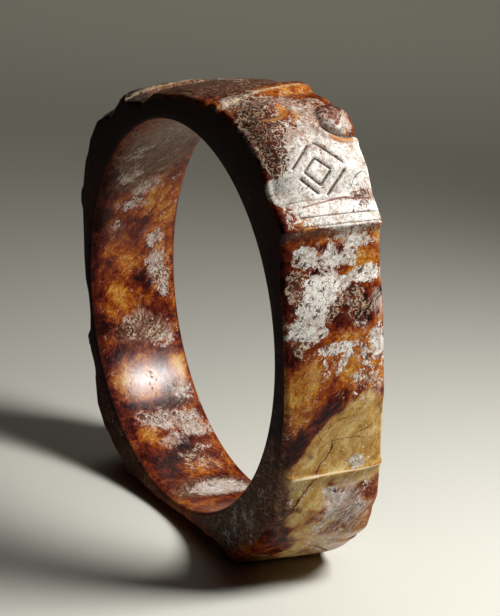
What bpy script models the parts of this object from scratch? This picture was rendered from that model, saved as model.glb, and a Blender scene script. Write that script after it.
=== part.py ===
# Carved jade bracelet: one ring of stone with four animal heads on its outer side.
# Metres, +Z up. The hole runs along Y, and the ring stands on its edge at Z = 0.
# Angles run clockwise from the top, as seen from -Y looking along +Y.

import bpy
import math

NAME = "jade_bracelet"

# The ring
BORE_RADIUS = 0.0305
WIDTH = 0.0160
BORE_EDGE = 0.0005
RIM_EDGE = 0.0005

# The hole sits a little off the middle of the outline, so one side of the ring is thicker
THICK_SIDE_SHIFT = 0.0013
THICK_SIDE_ANGLE = 40.0

# Stone left over the hole, at each named place around the outline
FACET_WALL = 0.0042
FACET_SWELL_WALL = 0.0046
HOLLOW_WALL = 0.0046
RIDGE_FOOT_WALL = 0.0061
RIDGE_WALL = 0.0076
GROOVE_WALL = 0.0071
BROW_WALL = 0.0086
HEAD_WALL = 0.0096
CHEEK_WALL = 0.0090
FACE_FOOT_WALL = 0.0078
LIP_WALL = 0.0081
LIP_FOOT_WALL = 0.0067
RIDGE_SLOPE = 0.0004
LIP_SLOPE = 0.0003

# Each head, carved by hand so no two match: the angle of its middle, how far it reaches round
# the ring, its extra stone at the face and at the lip, and how much of its eyes is left
HEADS = (
    (35.5, 41.0, 0.0, 0.0, 1.0),
    (130.0, 41.0, 0.0010, 0.0016, 0.45),
    (226.0, 43.0, 0.0, -0.0022, 0.8),
    (307.5, 43.0, 0.0, -0.0011, 0.9),
)
HEAD_SPAN = 41.0

# Where the extra stone begins, is full, and has faded again
FACE_EXTRA = (-24.0, -10.0, 14.0)
LIP_EXTRA = (0.0, 13.0, 36.0)

# One head with the facet behind it: place round the ring from the head's middle, and stone there
HEAD_OUTLINE = (
    (-36.0, FACET_SWELL_WALL),
    (-23.2, RIDGE_FOOT_WALL),
    (-22.0, RIDGE_WALL - RIDGE_SLOPE),
    (-19.2, RIDGE_WALL),
    (-17.2, GROOVE_WALL),
    (-11.5, BROW_WALL),
    (-4.0, HEAD_WALL),
    (2.0, HEAD_WALL),
    (7.5, CHEEK_WALL),
    (12.2, FACE_FOOT_WALL),
    (13.4, LIP_WALL - LIP_SLOPE),
    (19.3, LIP_WALL),
    (20.7, LIP_FOOT_WALL),
    (29.0, HOLLOW_WALL),
    (36.0, FACET_WALL),
)

# Two eye bosses on each head: the one at +Y stands higher and further round
NEAR_EYE_HEIGHT = 0.0008
FAR_EYE_HEIGHT = 0.0014
EYE_ANGLE = -9.0
EYE_SKEW = 3.0
EYE_SIDE = 0.0038
EYE_SHIFT = 0.0012
EYE_LENGTH = 0.0074
EYE_BREADTH = 0.0062
EYE_POWER = 2.4

# How far the outer side falls away towards its two rims, and how much higher it lies at +Y
HEAD_CROWN_NEAR = 0.0020
HEAD_CROWN_FAR = 0.0008
FACET_CROWN = 0.0006
CROWN_POWER = 3.5
CROWN_MIDDLE = -2.5
CROWN_START = 16.0
CROWN_FULL = 11.0
TAPER = 0.0005

# The stone worn flat where the ring stands
FOOT_FLAT = 0.0006

# Fineness of the solid
ROWS = 15
HEAD_STEP = 1.3
FACET_STEP = 3.7
HEAD_REACH = 21.0
ROW_CROWDING = 1.5

JADE_COLOUR = (0.33, 0.12, 0.045, 1.0)
JADE_ROUGHNESS = 0.3

# The blank is turned to this radius before it is carved
BLANK_RADIUS = BORE_RADIUS + HEAD_WALL


def empty_scene():
    for thing in list(bpy.data.objects):
        bpy.data.objects.remove(thing)


def smooth_share(value):
    value = max(0.0, min(1.0, value))
    return value * value * (3.0 - 2.0 * value)


def extra_share(place, begins, full, faded):
    """How far a head's extra stone counts at a place: it holds a while past full, then fades."""
    rising = (place - begins) / (full - begins)
    fading = 2.0 * (faded - place) / (faded - full)
    return min(smooth_share(rising), smooth_share(fading))


def outline_points():
    """The outline's corners in order round the ring, as angle and radius."""
    points = []
    for middle, span, face_extra, lip_extra, _ in HEADS:
        stretch = span / HEAD_SPAN
        for place, wall in HEAD_OUTLINE:
            wall += face_extra * extra_share(place, *FACE_EXTRA)
            wall += lip_extra * extra_share(place, *LIP_EXTRA)
            # A longer head stretches between its ridge and its lip, and the facets give way
            reach = min(abs(place), HEAD_REACH) * (stretch - 1.0)
            angle = middle + place + math.copysign(reach, place)
            points.append((angle, BORE_RADIUS + wall))
    return points


def cut_angles(points):
    """The angles where the blank is cut: close on the heads and wide on the facets."""
    angles = []
    for number, (start, _) in enumerate(points):
        end = points[(number + 1) % len(points)][0]
        if end < start:
            end += 360.0
        place = HEAD_OUTLINE[number % len(HEAD_OUTLINE)][0]
        on_head = abs(place + (end - start) / 2) < HEAD_REACH
        step = HEAD_STEP if on_head else FACET_STEP
        cuts = max(1, round((end - start) / step))
        for cut in range(cuts):
            angles.append(start + (end - start) * cut / cuts)
    return angles


def straight_between(angle, start, end):
    """Radius at an angle on the straight line between two corners of the outline."""
    a0, r0 = start
    a1, r1 = end
    whole = math.sin(math.radians(a1 - a0))
    past = r0 * math.sin(math.radians(angle - a0))
    ahead = r1 * math.sin(math.radians(a1 - angle))
    return r0 * r1 * whole / (past + ahead)


def outline_radius(angle, points):
    """Radius of the outline from the middle of the hole."""
    radius = 0.0
    for number, start in enumerate(points):
        end = points[(number + 1) % len(points)]
        if end[0] < start[0]:
            end = (end[0] + 360.0, end[1])
        turned = start[0] + (angle - start[0]) % 360.0
        if turned < end[0]:
            radius = straight_between(turned, start, end)
    return radius + THICK_SIDE_SHIFT * math.cos(math.radians(angle - THICK_SIDE_ANGLE))


def from_head(angle):
    """Angle from the middle of the nearest head, and how much of that head's eyes is left."""
    offsets = [((angle - head[0] + 180.0) % 360.0 - 180.0, head[4]) for head in HEADS]
    return min(offsets, key=lambda offset: abs(offset[0]))


def crown_fall(angle, across):
    """How far the outer side lies below its middle line; across runs -1 to 1 over the width."""
    offset = abs(from_head(angle)[0] - CROWN_MIDDLE)
    share = smooth_share((CROWN_START - offset) / (CROWN_START - CROWN_FULL))
    head_crown = HEAD_CROWN_NEAR if across < 0.0 else HEAD_CROWN_FAR
    depth = FACET_CROWN + (head_crown - FACET_CROWN) * share
    return depth * abs(across) ** CROWN_POWER - TAPER * across


def eye_rise(angle, y):
    """Height of the eye bosses at a place on the outer side."""
    rise = 0.0
    place, eyes_left = from_head(angle)
    for side, height in ((-1.0, NEAR_EYE_HEIGHT), (1.0, FAR_EYE_HEIGHT)):
        along = place - EYE_ANGLE - side * EYE_SKEW
        along = math.radians(along) * BLANK_RADIUS / (EYE_LENGTH / 2)
        over = (y - EYE_SHIFT - side * EYE_SIDE) / (EYE_BREADTH / 2)
        distance = math.hypot(along, over)
        if distance < 1.0:
            boss = height * math.sqrt(1.0 - distance ** EYE_POWER)
            rise = max(rise, boss * eyes_left)
    return rise


def row_places():
    """Places across the outer side from one rim to the other, closer together near the rims."""
    places = []
    for row in range(ROWS):
        side = 2.0 * row / (ROWS - 1) - 1.0
        places.append(math.copysign(1.0 - (1.0 - abs(side)) ** ROW_CROWDING, side))
    return places


def make_blank(collection, steps):
    """A plain turned ring: its section is closed, and Screw turns it about Z."""
    half = WIDTH / 2
    skin = half - RIM_EDGE
    section = [(BLANK_RADIUS, -skin * place) for place in row_places()]
    section.append((BLANK_RADIUS - RIM_EDGE, -half))
    section.append((BORE_RADIUS + BORE_EDGE, -half))
    section.append((BORE_RADIUS, -half + BORE_EDGE))
    section.append((BORE_RADIUS, half - BORE_EDGE))
    section.append((BORE_RADIUS + BORE_EDGE, half))
    section.append((BLANK_RADIUS - RIM_EDGE, half))

    mesh = bpy.data.meshes.new("ring_section")
    corners = [(radius, 0.0, height) for radius, height in section]
    edges = [(i, (i + 1) % len(corners)) for i in range(len(corners))]
    mesh.from_pydata(corners, edges, [])
    section_object = bpy.data.objects.new("ring_section", mesh)
    collection.objects.link(section_object)

    screw = section_object.modifiers.new("turn", "SCREW")
    screw.axis = "Z"
    screw.angle = math.tau
    screw.steps = steps
    screw.render_steps = steps
    screw.use_merge_vertices = True
    screw.merge_threshold = 0.00002

    graph = bpy.context.evaluated_depsgraph_get()
    turned = bpy.data.meshes.new_from_object(section_object.evaluated_get(graph))
    bpy.data.objects.remove(section_object)
    return turned


def carve(mesh, points, angles):
    """Move the blank's points: to the cutting angles, then in or out to the carved outline."""
    bore_side = BORE_RADIUS + 2 * BORE_EDGE
    turn = math.tau / len(angles)
    skin = WIDTH / 2 - RIM_EDGE
    radii = [outline_radius(angle, points) for angle in angles]
    for vertex in mesh.vertices:
        x, y, height = vertex.co
        radius = math.hypot(x, y)
        number = round((math.atan2(y, x) % math.tau) / turn) % len(angles)
        angle = angles[number]
        if radius > bore_side:
            across = max(-1.0, min(1.0, height / skin))
            carved = radii[number] - crown_fall(angle, across) + eye_rise(angle, height)
            radius += carved - BLANK_RADIUS
        swing = math.radians(angle)
        vertex.co = (radius * math.sin(swing), height, radius * math.cos(swing))


def stand_up(mesh):
    """Set the ring on Z = 0: the lip and the ridge that carry it are worn to one level."""
    lip_low = min(v.co.z for v in mesh.vertices if v.co.x > 0)
    ridge_low = min(v.co.z for v in mesh.vertices if v.co.x < 0)
    ground = max(lip_low, ridge_low) + FOOT_FLAT
    left = min(v.co.x for v in mesh.vertices)
    right = max(v.co.x for v in mesh.vertices)
    for vertex in mesh.vertices:
        vertex.co.x -= (left + right) / 2
        vertex.co.z = max(0.0, vertex.co.z - ground)


def make_jade():
    jade = bpy.data.materials.new("red_brown_jade")
    jade.use_nodes = True
    shader = jade.node_tree.nodes["Principled BSDF"]
    shader.inputs["Base Color"].default_value = JADE_COLOUR
    shader.inputs["Roughness"].default_value = JADE_ROUGHNESS
    shader.inputs["Metallic"].default_value = 0.0
    jade.diffuse_color = JADE_COLOUR
    return jade


def main():
    empty_scene()
    collection = bpy.data.collections.new(NAME)
    bpy.context.scene.collection.children.link(collection)

    points = outline_points()
    angles = cut_angles(points)
    mesh = make_blank(collection, len(angles))
    carve(mesh, points, angles)
    stand_up(mesh)
    mesh.name = NAME
    mesh.materials.append(make_jade())
    mesh.shade_smooth()
    mesh.set_sharp_from_angle(angle=math.radians(35.0))
    collection.objects.link(bpy.data.objects.new(NAME, mesh))


main()
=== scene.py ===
# Carved jade bracelet: a turned ring of stone, carved with animal heads, polished and weathered
import bpy
import bmesh
import math
import numpy as np
from mathutils import Matrix, Vector, noise


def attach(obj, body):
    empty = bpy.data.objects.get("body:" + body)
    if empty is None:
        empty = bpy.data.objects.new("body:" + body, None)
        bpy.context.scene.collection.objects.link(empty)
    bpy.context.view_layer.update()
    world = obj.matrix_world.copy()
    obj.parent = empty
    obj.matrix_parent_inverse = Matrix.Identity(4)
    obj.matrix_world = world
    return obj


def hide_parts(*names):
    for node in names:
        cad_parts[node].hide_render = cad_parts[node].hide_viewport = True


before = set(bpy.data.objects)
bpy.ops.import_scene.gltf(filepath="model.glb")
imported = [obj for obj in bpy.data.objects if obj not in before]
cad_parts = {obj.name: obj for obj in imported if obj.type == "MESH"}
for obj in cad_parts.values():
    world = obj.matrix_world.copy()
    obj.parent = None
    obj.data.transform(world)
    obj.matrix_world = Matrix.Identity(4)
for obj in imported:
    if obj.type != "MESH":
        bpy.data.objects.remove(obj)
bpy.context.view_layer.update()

mm = 0.001


# the stone ring, before it is carved

ring = {
    "holeMiddle": (-0.2032 * mm, 33.1685 * mm),   # x and z
    "holeRadius": 30.5 * mm,
    "width": 16.0 * mm,
    "wall": 9.6 * mm,
    "holeRound": 0.55 * mm,
    "thickSide": (1.3 * mm, 40.0),                # extra wall, and the angle it lies at
    "seenColumns": 700,                           # close columns where the carving is fine
    "seenFrom": -14.0,
    "seenTo": 158.0,
    "otherColumns": 380,
    "skinRows": 56,
    "rimRows": 5,
    "sideRows": 3,
    "holeRoundRows": 2,
    "holeRows": 14,
}


def addSocket(tree, name, kind, value=None):
    socket = tree.interface.new_socket(name, in_out="INPUT", socket_type=kind)
    if value is not None:
        socket.default_value = value


def ringBlankTree():
    tree = bpy.data.node_groups.new("turned ring blank", "GeometryNodeTree")
    tree.is_modifier = True
    addSocket(tree, "Hole radius", "NodeSocketFloat", ring["holeRadius"])
    addSocket(tree, "Wall", "NodeSocketFloat", ring["wall"])
    addSocket(tree, "Width", "NodeSocketFloat", ring["width"])
    addSocket(tree, "Columns", "NodeSocketInt", 720)
    addSocket(tree, "Rows", "NodeSocketInt", 60)
    addSocket(tree, "Stone", "NodeSocketMaterial")
    tree.interface.new_socket("Geometry", in_out="OUTPUT", socket_type="NodeSocketGeometry")

    def node(kind, x, y):
        made = tree.nodes.new(kind)
        made.location = (x, y)
        return made

    sizes = node("NodeGroupInput", -900, 0)
    halfWall = node("ShaderNodeMath", -700, 200)
    halfWall.operation = "MULTIPLY_ADD"
    halfWall.inputs[1].default_value = 0.5
    tree.links.new(sizes.outputs["Wall"], halfWall.inputs[0])
    tree.links.new(sizes.outputs["Hole radius"], halfWall.inputs[2])

    path = node("GeometryNodeCurvePrimitiveCircle", -500, 200)   # round the middle of the wall
    tree.links.new(sizes.outputs["Columns"], path.inputs["Resolution"])
    tree.links.new(halfWall.outputs[0], path.inputs["Radius"])

    section = node("GeometryNodeCurvePrimitiveQuadrilateral", -700, -100)
    tree.links.new(sizes.outputs["Wall"], section.inputs["Width"])
    tree.links.new(sizes.outputs["Width"], section.inputs["Height"])
    evened = node("GeometryNodeResampleCurve", -500, -100)
    tree.links.new(section.outputs[0], evened.inputs["Curve"])
    tree.links.new(sizes.outputs["Rows"], evened.inputs["Count"])

    count = node("GeometryNodeInputIndex", -500, -300)
    labelled = []
    for name, source, y in (("column", path, 200), ("row", evened, -100)):
        label = node("GeometryNodeStoreNamedAttribute", -300, y)
        label.data_type = "INT"
        label.domain = "POINT"
        label.inputs["Name"].default_value = name
        tree.links.new(source.outputs[0], label.inputs["Geometry"])
        tree.links.new(count.outputs[0], label.inputs["Value"])
        labelled.append(label)

    sweep = node("GeometryNodeCurveToMesh", -100, 0)
    tree.links.new(labelled[0].outputs[0], sweep.inputs["Curve"])
    tree.links.new(labelled[1].outputs[0], sweep.inputs["Profile Curve"])
    smooth = node("GeometryNodeSetShadeSmooth", 100, 0)
    tree.links.new(sweep.outputs[0], smooth.inputs["Geometry"])
    real = node("GeometryNodeRealizeInstances", 300, 0)
    tree.links.new(smooth.outputs[0], real.inputs[0])
    stone = node("GeometryNodeSetMaterial", 500, 0)
    tree.links.new(real.outputs[0], stone.inputs["Geometry"])
    tree.links.new(sizes.outputs["Stone"], stone.inputs["Material"])
    done = node("NodeGroupOutput", 700, 0)
    tree.links.new(stone.outputs[0], done.inputs[0])
    return tree


def setInput(modifier, name, value):
    for item in modifier.node_group.interface.items_tree:
        if item.item_type == "SOCKET" and item.in_out == "INPUT" and item.name == name:
            modifier[item.identifier] = value


def makeBlank(stone, columns, rows):
    base = bpy.data.objects.new("ringBlank", bpy.data.meshes.new("ringBlank"))
    bpy.context.scene.collection.objects.link(base)
    turning = base.modifiers.new("turning", "NODES")
    turning.node_group = ringBlankTree()
    for name, value in (
        ("Hole radius", ring["holeRadius"]),
        ("Wall", ring["wall"]),
        ("Width", ring["width"]),
        ("Columns", columns),
        ("Rows", rows),
        ("Stone", stone),
    ):
        setInput(turning, name, value)
    graph = bpy.context.evaluated_depsgraph_get()
    mesh = bpy.data.meshes.new_from_object(base.evaluated_get(graph))
    bpy.data.objects.remove(base)
    return mesh


# the outline: heads and facets, as the solid has them

walls = {                                          # stone over the hole at each named place
    "facet": 4.2 * mm,
    "facetSwell": 4.6 * mm,
    "hollow": 4.6 * mm,
    "ridgeFoot": 6.1 * mm,
    "ridge": 7.6 * mm,
    "groove": 7.1 * mm,
    "brow": 8.6 * mm,
    "head": 9.6 * mm,
    "cheek": 9.0 * mm,
    "faceFoot": 7.8 * mm,
    "lip": 8.1 * mm,
    "lipFoot": 6.7 * mm,
}

headOutline = (                                    # place from the head's middle, wall, extra
    (-36.0, "facetSwell", 0.0),
    (-23.2, "ridgeFoot", 0.0),
    (-22.0, "ridge", -0.4 * mm),
    (-19.2, "ridge", 0.0),
    (-17.2, "groove", 0.0),
    (-11.5, "brow", 0.0),
    (-4.0, "head", 0.0),
    (2.0, "head", 0.0),
    (7.5, "cheek", 0.0),
    (12.2, "faceFoot", 0.0),
    (13.4, "lip", -0.3 * mm),
    (19.3, "lip", 0.0),
    (20.7, "lipFoot", 0.0),
    (29.0, "hollow", 0.0),
    (36.0, "facet", 0.0),
)

heads = (                                          # no two match: they are cut by hand
    {
        "middle": 35.5, "span": 41.0, "face": 0.0, "lip": 0.0, "ridge": 0.0, "eyes": 1.0,
        "ridgeSkew": -0.03, "lipSkew": 0.05,
    },
    {
        "middle": 130.0, "span": 41.0, "face": 1.0 * mm, "lip": 1.6 * mm,
        "ridge": -0.85 * mm, "eyes": 0.35, "ridgeSkew": -0.12, "lipSkew": 0.04,
    },
    {
        "middle": 226.0, "span": 43.0, "face": 0.0, "lip": -2.2 * mm, "ridge": -0.2 * mm,
        "eyes": 0.8, "ridgeSkew": 0.05, "lipSkew": -0.06,
    },
    {
        "middle": 307.5, "span": 43.0, "face": 0.0, "lip": -1.6 * mm, "ridge": -0.2 * mm,
        "eyes": 0.8, "ridgeSkew": -0.05, "lipSkew": 0.08,
    },
)
headSpan = 41.0
headReach = 21.0


def smoothShare(value):
    value = np.clip(value, 0.0, 1.0)
    return value * value * (3.0 - 2.0 * value)


def extraShare(place, begins, full, faded):
    rising = (place - begins) / (full - begins)
    fading = 2.0 * (faded - place) / (faded - full)
    return min(float(smoothShare(rising)), float(smoothShare(fading)))


def outlineCorners():
    corners = []
    for head in heads:
        stretch = head["span"] / headSpan
        for place, wall, extra in headOutline:
            stone = walls[wall] + extra
            stone += head["face"] * extraShare(place, -24.0, -10.0, 14.0)
            stone += head["lip"] * extraShare(place, 0.0, 13.0, 36.0)
            stone += head["ridge"] * (wall == "ridge") * (1.0 if place < -21.0 else 0.6)
            reach = min(abs(place), headReach) * (stretch - 1.0)
            angle = head["middle"] + place + math.copysign(reach, place)
            corners.append((angle % 360.0, ring["holeRadius"] + stone))
    return np.array(sorted(corners))


outline = outlineCorners()


def outlineRadius(angle):
    # straight lines between the corners, as a flat grinding stone leaves them
    angles = np.concatenate((outline[-1:, 0] - 360.0, outline[:, 0], outline[:1, 0] + 360.0))
    radii = np.concatenate((outline[-1:, 1], outline[:, 1], outline[:1, 1]))
    turned = np.mod(angle, 360.0)
    after = np.clip(np.searchsorted(angles, turned, side="right"), 1, len(angles) - 1)
    a0, r0, a1, r1 = angles[after - 1], radii[after - 1], angles[after], radii[after]
    whole = np.sin(np.radians(a1 - a0))
    past = r0 * np.sin(np.radians(turned - a0))
    ahead = r1 * np.sin(np.radians(a1 - turned))
    return r0 * r1 * whole / (past + ahead)


def wornOutline(angle, softness):
    # the corners are worn round: the outline is averaged over a short stretch
    steps = np.linspace(-1.6, 1.6, 9)
    weights = np.exp(-steps ** 2)
    total = sum(w * outlineRadius(angle + s * softness) for s, w in zip(steps, weights))
    extra, thickest = ring["thickSide"]
    return total / weights.sum() + extra * np.cos(np.radians(angle - thickest))


def nearestHead(angle):
    # place from the middle of the nearest head, and which head that is
    offsets = np.stack([np.mod(angle - h["middle"] + 180.0, 360.0) - 180.0 for h in heads])
    number = np.argmin(np.abs(offsets), axis=0)
    place = np.take_along_axis(offsets, number[None], axis=0)[0]
    stretch = np.array([h["span"] / headSpan for h in heads])[number]
    inside = np.abs(place) < headReach * stretch
    place = np.where(inside, place / stretch, place - np.sign(place) * headReach * (stretch - 1.0))
    return place, number


# the carving on each head

crown = {
    "near": 2.0 * mm,
    "far": 0.8 * mm,
    "facet": 0.6 * mm,
    "power": 3.5,
    "middle": -2.5,
    "start": 16.0,
    "full": 11.0,
    "taper": 0.5 * mm,
}

eyes = {
    "nearHeight": 0.25 * mm,
    "farHeight": 1.05 * mm,
    "place": -8.2,
    "skew": 3.9,
    "side": 4.5 * mm,
    "shift": 1.35 * mm,
    "length": 6.2 * mm,
    "breadth": 6.0 * mm,
    "lidGroove": 0.30 * mm,
    "lidRidge": 0.22 * mm,
}

lozenge = {
    "place": 6.9,
    "side": -0.15 * mm,
    "outer": (4.2 * mm, 4.45 * mm),               # half sizes: round the ring, and across it
    "inner": (1.95 * mm, 2.05 * mm),
    "innerSide": -0.30 * mm,
    "innerDrop": 0.35 * mm,
    "strokes": (                                   # corners joined, and the share each stroke covers
        ("outer", "top", "right", 0.08, 0.88),
        ("outer", "right", "low", 0.14, 0.87),
        ("outer", "top", "left", 0.18, 0.88),
        ("outer", "left", "low", 0.28, 0.80),
        ("inner", "top", "right", 0.04, 0.96),
        ("inner", "right", "low", 0.12, 0.98),
        ("inner", "left", "low", 0.00, 0.94),
        ("inner", "top", "left", 0.12, 0.92),
    ),
    "halfWidth": 0.24 * mm,
    "depth": 0.28 * mm,
}

lip = {
    "linePlace": 16.7,
    "lineDepth": 0.14 * mm,
    "lineHalfWidth": 0.17 * mm,
    "lineStart": -5.6 * mm,
    "edgePlace": 19.5,
    "edgeLine": 18.8,
    "edgeLineHalfWidth": 0.13 * mm,
    "edgeHeight": 0.16 * mm,
    "edgeHalfWidth": 0.30 * mm,
    "turnUp": 2.6,
    "turnStart": 5.4 * mm,
    "topPlace": 13.2,
    "topDepth": 0.16 * mm,
    "topHalfWidth": 0.32 * mm,
}

stonePerDegree = 0.70 * mm                         # round the ring, where it is carved


def dent(distance, halfWidth):
    # a soft-edged groove: 1 along its middle, 0 outside it
    return smoothShare(1.25 - distance / halfWidth)


def toStroke(across, along, start, end):
    # distance from places on the surface to a straight stroke
    sx, sy = start
    dx, dy = end[0] - sx, end[1] - sy
    share = np.clip(((across - sx) * dx + (along - sy) * dy) / (dx * dx + dy * dy), 0.0, 1.0)
    return np.hypot(across - sx - share * dx, along - sy - share * dy)


def crownFall(place, across):
    fromMiddle = place - crown["middle"]
    easing = np.where(fromMiddle < 0.0, 12.0, crown["start"] - crown["full"])
    share = smoothShare((crown["start"] - np.abs(fromMiddle)) / easing)
    head = np.where(across < 0.0, crown["near"], crown["far"])
    depth = crown["facet"] + (head - crown["facet"]) * share
    return depth * np.abs(across) ** crown["power"] - crown["taper"] * across


def carveEyes(place, number, y):
    left = np.array([h["eyes"] for h in heads])[number]
    rise = np.zeros(np.broadcast(place, y).shape)
    cut = np.zeros_like(rise)
    for side, height in ((-1.0, eyes["nearHeight"]), (1.0, eyes["farHeight"])):
        along = (place - eyes["place"] - side * eyes["skew"]) * stonePerDegree / (eyes["length"] / 2)
        over = (y - eyes["shift"] - side * eyes["side"]) / (eyes["breadth"] / 2)
        distance = np.hypot(along, over)
        boss = np.sqrt(np.clip(1.0 - distance ** 2.4, 0.0, 1.0))
        rise = np.maximum(rise, height * left * boss)
        below = smoothShare(along / np.maximum(distance, 0.01) * 1.4 + 0.1)      # the lower half only
        groove = dent(np.abs(distance - 1.13), 0.12) * below
        rise = rise + left * eyes["lidRidge"] * dent(np.abs(distance - 1.38), 0.16) * below
        rise = rise - left * eyes["lidGroove"] * groove
        cut = np.maximum(cut, groove * (0.55 if side < 0 else 0.9) * left)
    return rise, cut


def carveLozenge(place, y):
    along = (place - lozenge["place"]) * stonePerDegree
    cut = np.zeros(np.broadcast(place, y).shape)
    for size, start, end, begins, ends in lozenge["strokes"]:
        down, wide = lozenge[size]
        shift, drop = (lozenge["innerSide"], lozenge["innerDrop"]) if size == "inner" else (0.0, 0.0)
        corners = {
            "top": (shift, drop - down),
            "low": (shift, drop + down),
            "left": (shift - wide, drop),
            "right": (shift + wide, drop),
        }
        (x0, y0), (x1, y1) = corners[start], corners[end]
        first = (x0 + (x1 - x0) * begins, y0 + (y1 - y0) * begins)
        last = (x0 + (x1 - x0) * ends, y0 + (y1 - y0) * ends)
        distance = toStroke(y - lozenge["side"], along, first, last)
        cut = np.maximum(cut, dent(distance, lozenge["halfWidth"]))
    return cut


def carveLip(place, y):
    turned = lip["turnUp"] * smoothShare((-y - lip["turnStart"]) / (2.0 * mm)) ** 2
    edge = (place - lip["edgePlace"] + turned) * stonePerDegree
    rise = lip["edgeHeight"] * dent(np.abs(edge), lip["edgeHalfWidth"])
    inner = (place - lip["edgeLine"] + turned * 1.05) * stonePerDegree
    edgeCut = dent(np.abs(inner), lip["edgeLineHalfWidth"]) * 0.8
    line = (place - lip["linePlace"]) * stonePerDegree
    begun = smoothShare((y - lip["lineStart"]) / (0.8 * mm))
    lineCut = dent(np.abs(line), lip["lineHalfWidth"]) * begun * 0.75
    top = (place - lip["topPlace"] - 0.3 * np.sin(y / (2.1 * mm))) * stonePerDegree
    topCut = dent(np.abs(top), lip["topHalfWidth"]) * 0.7
    rise = rise - lip["lineDepth"] * np.maximum(lineCut, edgeCut) - lip["topDepth"] * topCut
    return rise, np.maximum(np.maximum(lineCut, edgeCut), topCut * 0.7)


# putting the ring together

def sectionPlan():
    # one entry for each row round the section: which side it lies on, and its share along it
    plan = []
    for k in range(ring["skinRows"]):
        plan.append(("skin", 2.0 * k / (ring["skinRows"] - 1) - 1.0))
    for side in ("far", "near"):
        part = []
        for k in range(ring["rimRows"]):
            part.append((side + "Rim", (k + 1) / (ring["rimRows"] + 1)))
        for k in range(ring["sideRows"]):
            part.append((side + "Side", k / (ring["sideRows"] - 1)))
        for k in range(ring["holeRoundRows"]):
            part.append((side + "HoleRound", (k + 1) / (ring["holeRoundRows"] + 1)))
        if side == "near":
            part.reverse()
        plan.extend(part)
        if side == "far":
            for k in range(ring["holeRows"]):
                plan.append(("hole", 1.0 - 2.0 * k / (ring["holeRows"] - 1)))
    return plan


def columnAngles():
    seen = np.linspace(ring["seenFrom"], ring["seenTo"], ring["seenColumns"], endpoint=False)
    other = np.linspace(ring["seenTo"], ring["seenFrom"] + 360.0, ring["otherColumns"], endpoint=False)
    return np.concatenate((seen, other))


wear = {
    "swell": 0.11 * mm,
    "swellSize": 7.0 * mm,
    "ripple": 0.045 * mm,
    "rippleSize": 1.9 * mm,
    "rimRound": (0.6 * mm, 1.15 * mm),
    "nearSoft": 1.3 * mm,
    "sideLeft": 0.08 * mm,                         # flat side face left at the thinnest wall
    "holeDome": 0.27 * mm,
    "holeLean": 0.040,                             # it opens a little to the far side
    "ridgeLoss": 0.75 * mm,                        # from the first ridge, towards the near rim
    "beadHeight": 0.24 * mm,                       # along the edge of the second ridge
    "beadHalfWidth": 0.42 * mm,
}


def lumps(points, size, seed):
    # smooth noise at each point, between about -1 and 1
    shift = Vector((seed * 7.3, seed * 3.1, seed * 5.7))
    return np.array([noise.noise(Vector(p) / size + shift) for p in points])


def skinHeight(angle, y):
    # radius of the carved outer side, and how far each place lies in a cut line
    place, number = nearestHead(angle)
    ridgeSkew = np.array([h["ridgeSkew"] for h in heads])[number]
    lipSkew = np.array([h["lipSkew"] for h in heads])[number]
    skew = np.where(place < -5.0, ridgeSkew, lipSkew) * smoothShare((np.abs(place + 2.0) - 4.0) / 8.0)
    leaned = angle - skew * y / mm
    place = place - skew * y / mm
    across = np.clip(y / (ring["width"] / 2 - 0.5 * mm), -1.0, 1.0)
    radius = wornOutline(leaned, 0.35) - crownFall(place, across)
    eyeRise, eyeCut = carveEyes(place, number, y)
    lozengeCut = carveLozenge(place, y)
    lipRise, lipCut = carveLip(place, y)
    nearShare = smoothShare((-y - 0.5 * mm) / (5.0 * mm))
    ridgeShare = smoothShare(2.0 - np.abs(place + 20.4) / 2.2)
    lost = wear["ridgeLoss"] * nearShare * ridgeShare * (number == 0)
    fromBead = np.abs(place + 19.3) * stonePerDegree
    bead = wear["beadHeight"] * dent(fromBead, wear["beadHalfWidth"]) * (number == 1)
    radius = radius + eyeRise + lipRise - lozenge["depth"] * lozengeCut - lost + bead
    return radius, np.maximum(np.maximum(eyeCut, lozengeCut), lipCut)


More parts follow.
